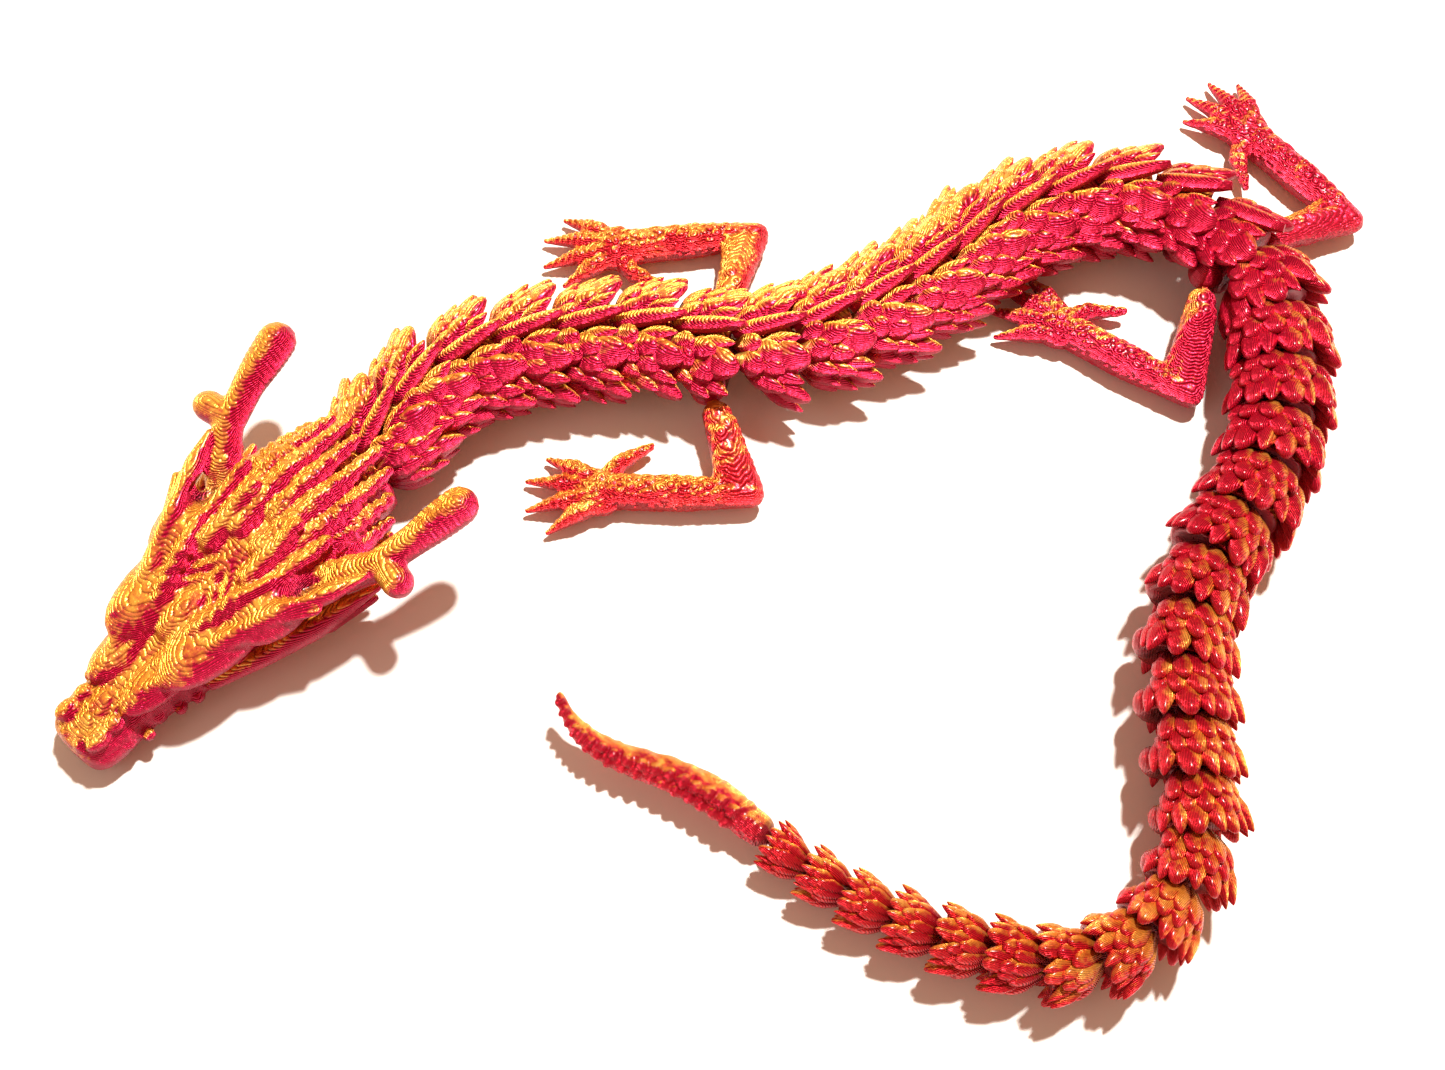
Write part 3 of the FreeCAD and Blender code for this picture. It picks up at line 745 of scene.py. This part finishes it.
headSettings = {
    "skull": [   # station, half width, half height, centre height
        (-81.0, 4.3, 3.2, -5.2), (-79.5, 6.6, 4.8, -4.4), (-77.0, 7.8, 5.6, -3.8), (-72, 7.9, 6.2, -3.4),
        (-66.0, 7.4, 6.4, -2.9), (-60, 8.6, 7.0, -2.2), (-52.7, 10.6, 8.2, -1.2), (-45, 12.8, 9.4, 0.0),
        (-38.9, 14.4, 10.4, 1.2), (-32, 15.6, 11.2, 2.0), (-25.9, 16.2, 11.4, 2.4), (-19, 15.6, 11.2, 2.2),
        (-13.8, 14.0, 10.8, 1.8), (-9, 11.8, 9.8, 1.0), (-4.9, 10.0, 9.0, 0.6), (0.5, 9.3, 8.6, 0.3),
        (2.2, 9.0, 8.4, 0.2),
    ],
    # features on both sides: a strand with its points and radii, or a ball with its radii and sides
    "features": [
        # horn and its branch
        ("strand", [(-25, 14, 7), (-14, 22.6, 12.4), (-5, 25.2, 15.2), (5.5, 27.4, 17.4)], [4.0, 3.2, 3.3, 3.8]),
        ("strand", [(-12.5, 23.2, 13.0), (-13.5, 28.6, 13.2)], [3.2, 3.4]),
        # long brow ridge from the nose's bridge out to its spike, and a second spike
        ("strand", [(-66, 4.6, 3.2), (-56, 7.6, 6.6), (-45, 11.4, 9.6), (-33, 16.0, 12.4), (-24, 20.6, 13.6),
                    (-17.5, 23.4, 14.4)], [1.9, 2.2, 2.5, 2.6, 2.1, 0.8]),
        ("strand", [(-36, 15.0, 11.5), (-28.5, 21.6, 13.4)], [2.2, 0.8]),
        # the brow's shelf, from the ridge in to the forehead
        ("ball", (-57, 5.2, 3.6), (12, 4.8, 3.0), 20),
        ("ball", (-44, 8.0, 7.2), (16, 7.4, 4.2), 20),
        ("ball", (-33, 11.5, 9.6), (11, 8.0, 4.4), 20),
        # inner ridge beside the forehead
        ("strand", [(-58, 3.2, 5.6), (-47, 5.4, 10.2), (-38, 7.8, 13.2), (-31, 10.4, 14.2)], [1.3, 1.7, 1.9, 1.0]),
        # cheek ridge, cheek spikes and the jaw's corner
        ("strand", [(-52, 11.4, -1), (-40, 15.6, 0.6), (-30, 18.6, 2.0), (-16, 23.2, 5.4)], [1.6, 2.4, 3.0, 1.0]),
        ("strand", [(-27, 17.6, -3), (-17, 21.4, -2.4)], [2.8, 1.0]),
        ("strand", [(-24, 15.5, 3.6), (-12.5, 19.0, 5.2)], [2.8, 1.0]),
        # nostrils
        ("ball", (-75.5, 4.6, 1.0), (3.1, 2.3, 1.9), 16),
        ("ball", (-71.0, 4.9, 1.8), (2.2, 1.8, 1.5), 16),
        ("ball", (-78.2, 2.2, -0.4), (1.9, 1.8, 1.5), 16),
        # eye under the brow
        ("ball", (-45.5, 12.4, 4.6), (3.0, 1.9, 2.2), 16),
    ],
    # finger-like spines that fan back, the inner ones longest: root, tip, thickness
    "mane": [
        ((-27, 3.6, 13.2), (3.6, 4.6, 13.6), 2.3), ((-26, 7.4, 11.8), (1.6, 8.8, 11.6), 2.4),
        ((-25, 10.4, 9.4), (-1.2, 12.0, 8.6), 2.4), ((-24, 12.6, 6.2), (-4.4, 14.2, 5.0), 2.4),
        ((-23, 13.6, 2.4), (-7.4, 15.2, 0.8), 2.3), ((-21, 13.0, -1.8), (-5.4, 13.2, -3.2), 2.1),
    ],
    "shortSpines": [((-33, 6.0, 13.0), (-19, 6.4, 16.6)), ((-31, 10.6, 11.8), (-17.5, 12.4, 14.6))],
    # hollows: depth, centre, radii
    "hollows": [
        (3.6, (-27.5, 15.2, 10.5), (5.2, 3.0, 5.0)),   # pit behind the brow
        (1.6, (-37.5, 1.6, 13), (1.8, 1.4, 3.0)),      # notch behind the forehead
        (0.5, (-50, 9.6, 6.0), (6.0, 1.6, 3.0)),       # groove inside the brow ridge
        (1.3, (-78.4, 3.4, 0.2), (1.0, 1.0, 1.6)),     # nostril opening
        (1.6, (-12, 5.8, 13.5), (5.0, 1.0, 3.0)),      # gap beside the spine
    ],
    "lipBumps": 12, "heading": 47.0, "underside": 10.5, "socket": 4.7,
    "voxel": 0.5,
}


def buildHead():
    s = headSettings
    skull = loftAlong(s["skull"], 28)
    for v in skull.data.vertices:   # upright jaw walls and a flat underside
        p = v.co / mm
        if p.z < -1:
            v.co.y *= 1 + 0.16 * min(1, (-1 - p.z) / 4)
            v.co.z = max(v.co.z, -10.4 * mm)
    applyModifier(skull, "SUBSURF", "round", levels=1, render_levels=1)
    parts = [skull]
    for side in (1, -1):
        def m(*p):
            return Vector((p[0], side * p[1], p[2]))

        for kind, *shape in s["features"]:
            if kind == "strand":
                points, radii = shape
                parts += horny([m(*p) for p in points], radii)
            else:
                centre, radii, sides = shape
                parts.append(ballAt(m(*centre), radii, sides=sides))
        for i in range(s["lipBumps"]):
            t = i / (s["lipBumps"] - 1)
            x = -76 + 44 * t
            w = 8.4 + 0.9 * math.sin(x) + (7.0 * t ** 1.3)
            parts.append(ballAt(m(x, w - 0.5, -4.0 + 1.4 * t), (1.5, 1.1, 1.2), sides=10))
        for root, tip, thick in s["mane"]:
            a, b = m(*root), m(*tip)
            mid = a.lerp(b, 0.5) + m(0, 0.8, 1.1)
            parts += horny([a, mid, b], [thick * 1.2, thick * 1.05, 1.1])
        for root, tip in s["shortSpines"]:
            parts += horny([m(*root), m(*tip)], [2.4, 1.2])
    # forehead and the spine that leads into the back's ridge
    parts.append(ballAt((-44, 0, 7.4), (9.5, 4.4, 3.4), sides=20))
    parts += horny([(-20, 0, 13.4), (-9, 0, 14.8), (1.5, 0, 14.6)], [2.4, 2.2, 1.2])
    obj = melt("head", parts, s["voxel"], 2)

    def relief(p, n):
        q = Vector((p.x, abs(p.y), p.z))
        up = max(0.0, n.z)
        d = 0.0
        snout = max(0.0, min(1.0, (-58 - q.x) / 10))
        crown = max(0.0, min(1.0, (q.x + 31) / 12)) * (1 if q.z > 1 else 0.2)
        outer = max(0.0, min(1.0, (q.y - 17) / 3))     # horns and brow spikes stay smooth
        d += lumps(q, 2.7, 1.0) * (0.42 * snout * up + 0.42 * crown) * (1 - outer)
        d += 0.5 * noise.noise(q * 0.16) * up
        d += 0.35 * math.sin((q.x * 0.75 + q.y * 1.1) * 2.0) * bump(q, (-40, 5, 12), (9, 5, 6))
        club = bump(q, (2, 26.6, 16.8), (8, 6, 6))
        d += (0.7 + 0.16 * math.sin(q.x * 5.0)) * club
        for depth, centre, radii in s["hollows"]:
            d -= depth * bump(q, centre, radii)
        ribs = math.sin(q.x * 2.9)
        mane = bump(q, (-8, 9, 9), (14, 9, 9))
        d += 0.34 * ribs * mane
        return d

    carve(obj, relief)
    for v in obj.data.vertices:
        v.co.z = max(v.co.z, -s["underside"] * mm)
        # the socket that the first ball sits in
        p = v.co / mm
        if p.length < s["socket"]:
            v.co = (p.normalized() * s["socket"]) * mm
    obj.data.update()
    start = ballCentres[1]
    heading = math.radians(s["heading"])
    place = Matrix.Translation(start) @ Matrix.Rotation(heading, 4, "Z")

    # painted shade: the brow pit, the gap beside the spine, the seams between pebbles and the underside get a
    # darker colour
    def depth(p):
        q = Vector((p.x, abs(p.y), p.z))
        pit = bump(q, (-27.5, 15.2, 8), (4.5, 3.0, 6.0)) + bump(q, (-12, 5.8, 11), (5.0, 1.5, 3.0))
        return 0.72 + 0.3 * lumps(q, 2.7, 1.0) - 1.2 * pit - (0.35 if p.z < -3 else 0)

    writeLook(obj, place, along(goldSides, 0), along(goldShare, 0), 0.0, lambda p: p.z, depth)
    settle(obj, "head", place)
    return obj


buildHead()
print("head ready")


# tail tip

tipSettings = {
    "line": [   # along, sideways bow, rise, size
        (0.00, 0.0, 0.0, 0.36), (0.055, 0.0, 0.0, 0.62), (0.09, 0.0, 0.0, 0.94),
        (0.20, 0.1, 0.1, 1.02), (0.30, 0.3, 0.3, 1.04), (0.40, 1.3, 0.2, 1.0),
        (0.50, 2.6, 0.2, 0.94), (0.60, 4.6, 0.3, 0.87), (0.70, 6.4, 0.6, 0.78),
        (0.79, 7.3, 1.3, 0.68), (0.86, 7.4, 2.2, 0.56), (0.93, 6.6, 3.5, 0.40), (1.0, 5.0, 5.0, 0.22),
    ],
    "length": 52.0,
}


def buildTip():
    s = tipSettings
    last = chainSettings["last"]
    size = sizeOf(last)
    start = ballCentres[last + 1]
    run = ballCentres[last + 1] - ballCentres[last]
    heading = math.atan2(run.y, run.x) + math.radians(-2.0)
    place = (Matrix.Translation(start) @ Matrix.Rotation(heading, 4, "Z")
             @ Matrix.Rotation(-lean(last), 4, "X"))
    unlean = Matrix.Rotation(lean(last), 3, "X")
    points = [unlean @ Vector((a * s["length"], b, c)) for a, b, c, _ in s["line"]]
    radii = [10.1 * size * w * 0.84 for *_, w in s["line"]]
    radii[0], radii[1] = 4.0 * size * 0.97, 1.9 * size
    parts = []
    for i in range(2, len(points) - 1):
        parts.append(taperAt(points[i], points[i + 1], radii[i], radii[i + 1], sides=20))
    for point, radius in list(zip(points, radii))[2:]:
        parts.append(ballAt(point, (radius,) * 3, sides=16))
    parts.append(taperAt(points[0], points[2], radii[1], radii[1]))
    parts.append(ballAt(points[0], (radii[0],) * 3, sides=16))
    # row of rounded knobs along the crest, on the side that lies uppermost and outward
    crest = unlean @ Vector((0, 0.86, 0.5))
    for i in range(17):
        t = 0.10 + 0.88 * i / 16
        x = t * (len(points) - 3) + 2
        j = min(int(x), len(points) - 2)
        f = x - j
        p = points[j].lerp(points[j + 1], f)
        r = radii[j] * (1 - f) + radii[j + 1] * f
        for lift in (0.0, 0.75):
            away = (Matrix.Rotation(lift, 3, Vector((1, 0, 0))) @ crest).normalized()
            parts.append(ballAt(p + away * r * 0.95, (max(0.8, r * 0.42),) * 3, sides=10))
    obj = melt("tail_tip", parts, 0.3, 2)

    def relief(p, n):
        up = max(0.0, n.dot(crest))
        streak = math.sin(p.x * 0.9 + 7 * noise.noise(p * 0.22)) * 0.14 * (1 - up)
        return lumps(p, 1.9, 2.0) * 0.4 * up + streak * (1 if p.x > 6 else 0)

    carve(obj, relief)
    # painted shade: the ball at the front end, inside the socket, gets a darker colour
    writeLook(obj, place, along(goldSides, 39), along(goldShare, 39), 0.5, lambda p: p.z,
              lambda p: 0.75 if p.x > 4 else 0.1)
    settle(obj, "tail_tip", place)
    return obj


buildTip()
print("tail tip ready")

for template in (shellScale, pointScale, knobScale, ridgePlate):
    bpy.data.objects.remove(template)


# floor, light and camera

stageSettings = {"keyFrom": (0.20, 0.30, 0.93), "keyDistance": 1.2, "keySize": 0.07, "keyPower": 27.0,
                 "fillPower": 0.7, "sky": 0.46, "floor": (0.93, 0.91, 0.89, 1)}


def makeStage():
    s = stageSettings
    deselectAll()
    bpy.ops.mesh.primitive_plane_add(size=4, location=(0, 0, 0))
    floor = bpy.context.object
    floor.name = "floor"
    mat = bpy.data.materials.new("paleFloor")
    mat.use_nodes = True
    shader = mat.node_tree.nodes["Principled BSDF"]
    shader.inputs["Base Color"].default_value = s["floor"]
    shader.inputs["Roughness"].default_value = 0.75
    floor.data.materials.append(mat)
    world = bpy.data.worlds.new("softSky")
    bpy.context.scene.world = world
    world.use_nodes = True
    world.node_tree.nodes["Background"].inputs["Color"].default_value = (1.0, 0.55, 0.34, 1)
    world.node_tree.nodes["Background"].inputs["Strength"].default_value = s["sky"]

    def lamp(name, direction, distance, size, power, colour):
        spot = Vector(direction).normalized() * distance
        bpy.ops.object.light_add(type="AREA", location=spot, rotation=turnTo(spot))
        light = bpy.context.object
        light.name = name
        light.data.size = size
        light.data.energy = power
        light.data.color = colour

    lamp("keyLight", s["keyFrom"], s["keyDistance"], s["keySize"], s["keyPower"], (1.0, 0.96, 0.88))
    lamp("fillLight", (-0.8, -0.4, 0.9), 1.1, 0.6, s["fillPower"], (1.0, 0.95, 0.95))
    deselectAll()
    bpy.ops.object.camera_add(location=(-0.0052, -0.1476, 0.3495), rotation=(0, 0, 0))
    camera = bpy.context.object
    camera.name = "camera"
    aim = Vector((-0.0052, -0.0064, 0.0)) - camera.location
    camera.rotation_euler = aim.to_track_quat("-Z", "Y").to_euler()
    camera.data.lens = 43.46
    camera.data.sensor_width = 36
    camera.data.clip_start = 0.01
    bpy.context.scene.camera = camera
    bpy.context.scene.view_settings.view_transform = "Standard"


makeStage()
print("floor, light and camera ready")
